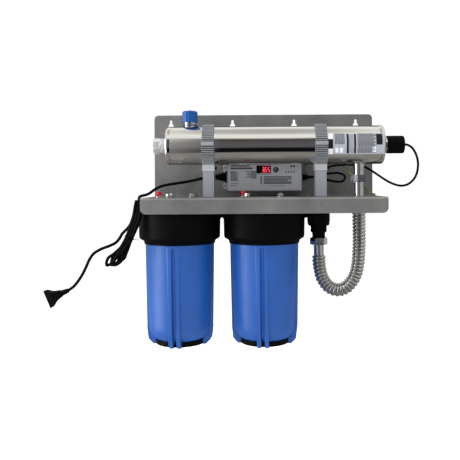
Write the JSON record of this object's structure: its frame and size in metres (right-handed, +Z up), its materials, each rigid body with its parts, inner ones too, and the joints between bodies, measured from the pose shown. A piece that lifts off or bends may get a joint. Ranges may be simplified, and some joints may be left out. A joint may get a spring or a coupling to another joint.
{
  "type": "uv clarifier",
  "caption": "Wall-hung water treatment unit: polished ultraviolet chamber on a folded bracket above canister filters, with a controller, steel hose and mains lead.",
  "frame": {"origin": "back face of the wall plate, midway between its ends and midway between the shelf and the plate top", "axes": "+X to the right seen from the front, +Y towards the wall, +Z up"},
  "size_m": [0.8471, 0.203, 0.5355],
  "materials": {
    "steel_sheet": "fine bead-blasted stainless sheet",
    "polished_steel": "polished stainless steel",
    "chrome": "bright plated",
    "steel": "turned steel",
    "quartz": "clear",
    "rubber": "matt",
    "cord_rubber": "satin",
    "black_plastic": "moulded, fine grain",
    "cap_blue": "soft cap",
    "grey_plastic": "moulded and extruded",
    "sump_blue": "moulded, satin gloss",
    "filter_white": "wound filter media",
    "red_plastic": "moulded",
    "aluminium": "anodised",
    "face_grey": "printed film",
    "board_green": "solder mask",
    "copper": "enamelled wire",
    "tie_white": "moulded strap",
    "earth_green": "green wire with a yellow stripe"
  },
  "bodies": {
    "root": {"bracket": "steel_sheet", "uv_chamber": "polished_steel", "hose_cuff_lower": "polished_steel", "hose_cuff_upper": "polished_steel", "flex_hose": "polished_steel", "gland_nut": "chrome", "end_collar": "chrome", "end_plug": "chrome", "relief_valve_left": "chrome", "relief_valve_right": "chrome", "head_bolt_left_1": "steel", "head_bolt_left_2": "steel", "head_bolt_right_1": "steel", "head_bolt_right_2": "steel", "controller_screw_left": "steel", "controller_screw_right": "steel", "plug_blades": "steel", "earth_lug": "steel", "earth_screw": "steel", "quartz_sleeve": "quartz", "uv_lamp": "quartz", "sleeve_seal": "rubber", "sump_ring_left": "rubber", "sump_ring_right": "rubber", "cord_gland": "cord_rubber", "lamp_gland": "cord_rubber", "power_cord": "cord_rubber", "power_lead": "cord_rubber", "cord_hank": "cord_rubber", "power_plug": "cord_rubber", "lamp_cable": "cord_rubber", "lamp_connector": "black_plastic", "filter_head_left": "black_plastic", "filter_head_right": "black_plastic", "head_link": "black_plastic", "elbow": "black_plastic", "hose_adapter": "black_plastic", "display_window": "black_plastic", "outlet_collar": "cap_blue", "clamp_ring_left": "grey_plastic", "clamp_ring_right": "grey_plastic", "clamp_post_left": "grey_plastic", "clamp_post_right": "grey_plastic", "cartridge_left": "filter_white", "cartridge_right": "filter_white", "controller_cover": "aluminium", "controller_base": "aluminium", "face_panel": "face_grey", "circuit_board": "board_green", "ballast_choke": "copper", "cord_tie": "tie_white", "earth_wire": "earth_green"},
    "sump_left": {"sump_left": "sump_blue"},
    "sump_right": {"sump_right": "sump_blue"},
    "relief_button_left": {"relief_button_left": "red_plastic"},
    "relief_button_right": {"relief_button_right": "red_plastic"},
    "controller_key": {"controller_key": "black_plastic"},
    "outlet_cap": {"outlet_cap": "cap_blue"},
    "hose_nut_lower": {"hose_nut_lower": "steel"},
    "hose_nut_upper": {"hose_nut_upper": "steel"}
  },
  "joints": [
    {"name": "sump_left_unscrew", "type": "hinge", "parent": "root", "child": "sump_left", "pos_m": [-0.195, -0.105, -0.3], "axis": [0, 0, -1], "range_deg": [0, 1080]},
    {"name": "sump_right_unscrew", "type": "hinge", "parent": "root", "child": "sump_right", "pos_m": [0, -0.105, -0.3], "axis": [0, 0, -1], "range_deg": [0, 1080]},
    {"name": "relief_button_left_press", "type": "slide", "parent": "root", "child": "relief_button_left", "axis": [0, 0, -1], "range_m": [0, 0.002], "stiffness_N_per_m": 300, "springref_m": -0.001},
    {"name": "relief_button_right_press", "type": "slide", "parent": "root", "child": "relief_button_right", "axis": [0, 0, -1], "range_m": [0, 0.002], "stiffness_N_per_m": 300, "springref_m": -0.001},
    {"name": "controller_key_press", "type": "slide", "parent": "root", "child": "controller_key", "axis": [0, 1, 0], "range_m": [0, 0.001], "stiffness_N_per_m": 400, "springref_m": -0.0005},
    {"name": "outlet_cap_pull", "type": "slide", "parent": "root", "child": "outlet_cap", "axis": [0, 0, 1], "range_m": [0, 0.04]},
    {"name": "hose_nut_lower_turn", "type": "hinge", "parent": "root", "child": "hose_nut_lower", "pos_m": [0.126, -0.105, -0.2], "axis": [0, 0, 1], "range_deg": [0, 720]},
    {"name": "hose_nut_upper_turn", "type": "hinge", "parent": "root", "child": "hose_nut_upper", "pos_m": [0.2195, -0.105, -0.06], "axis": [0, 0, 1], "range_deg": [0, 720]}
  ]
}
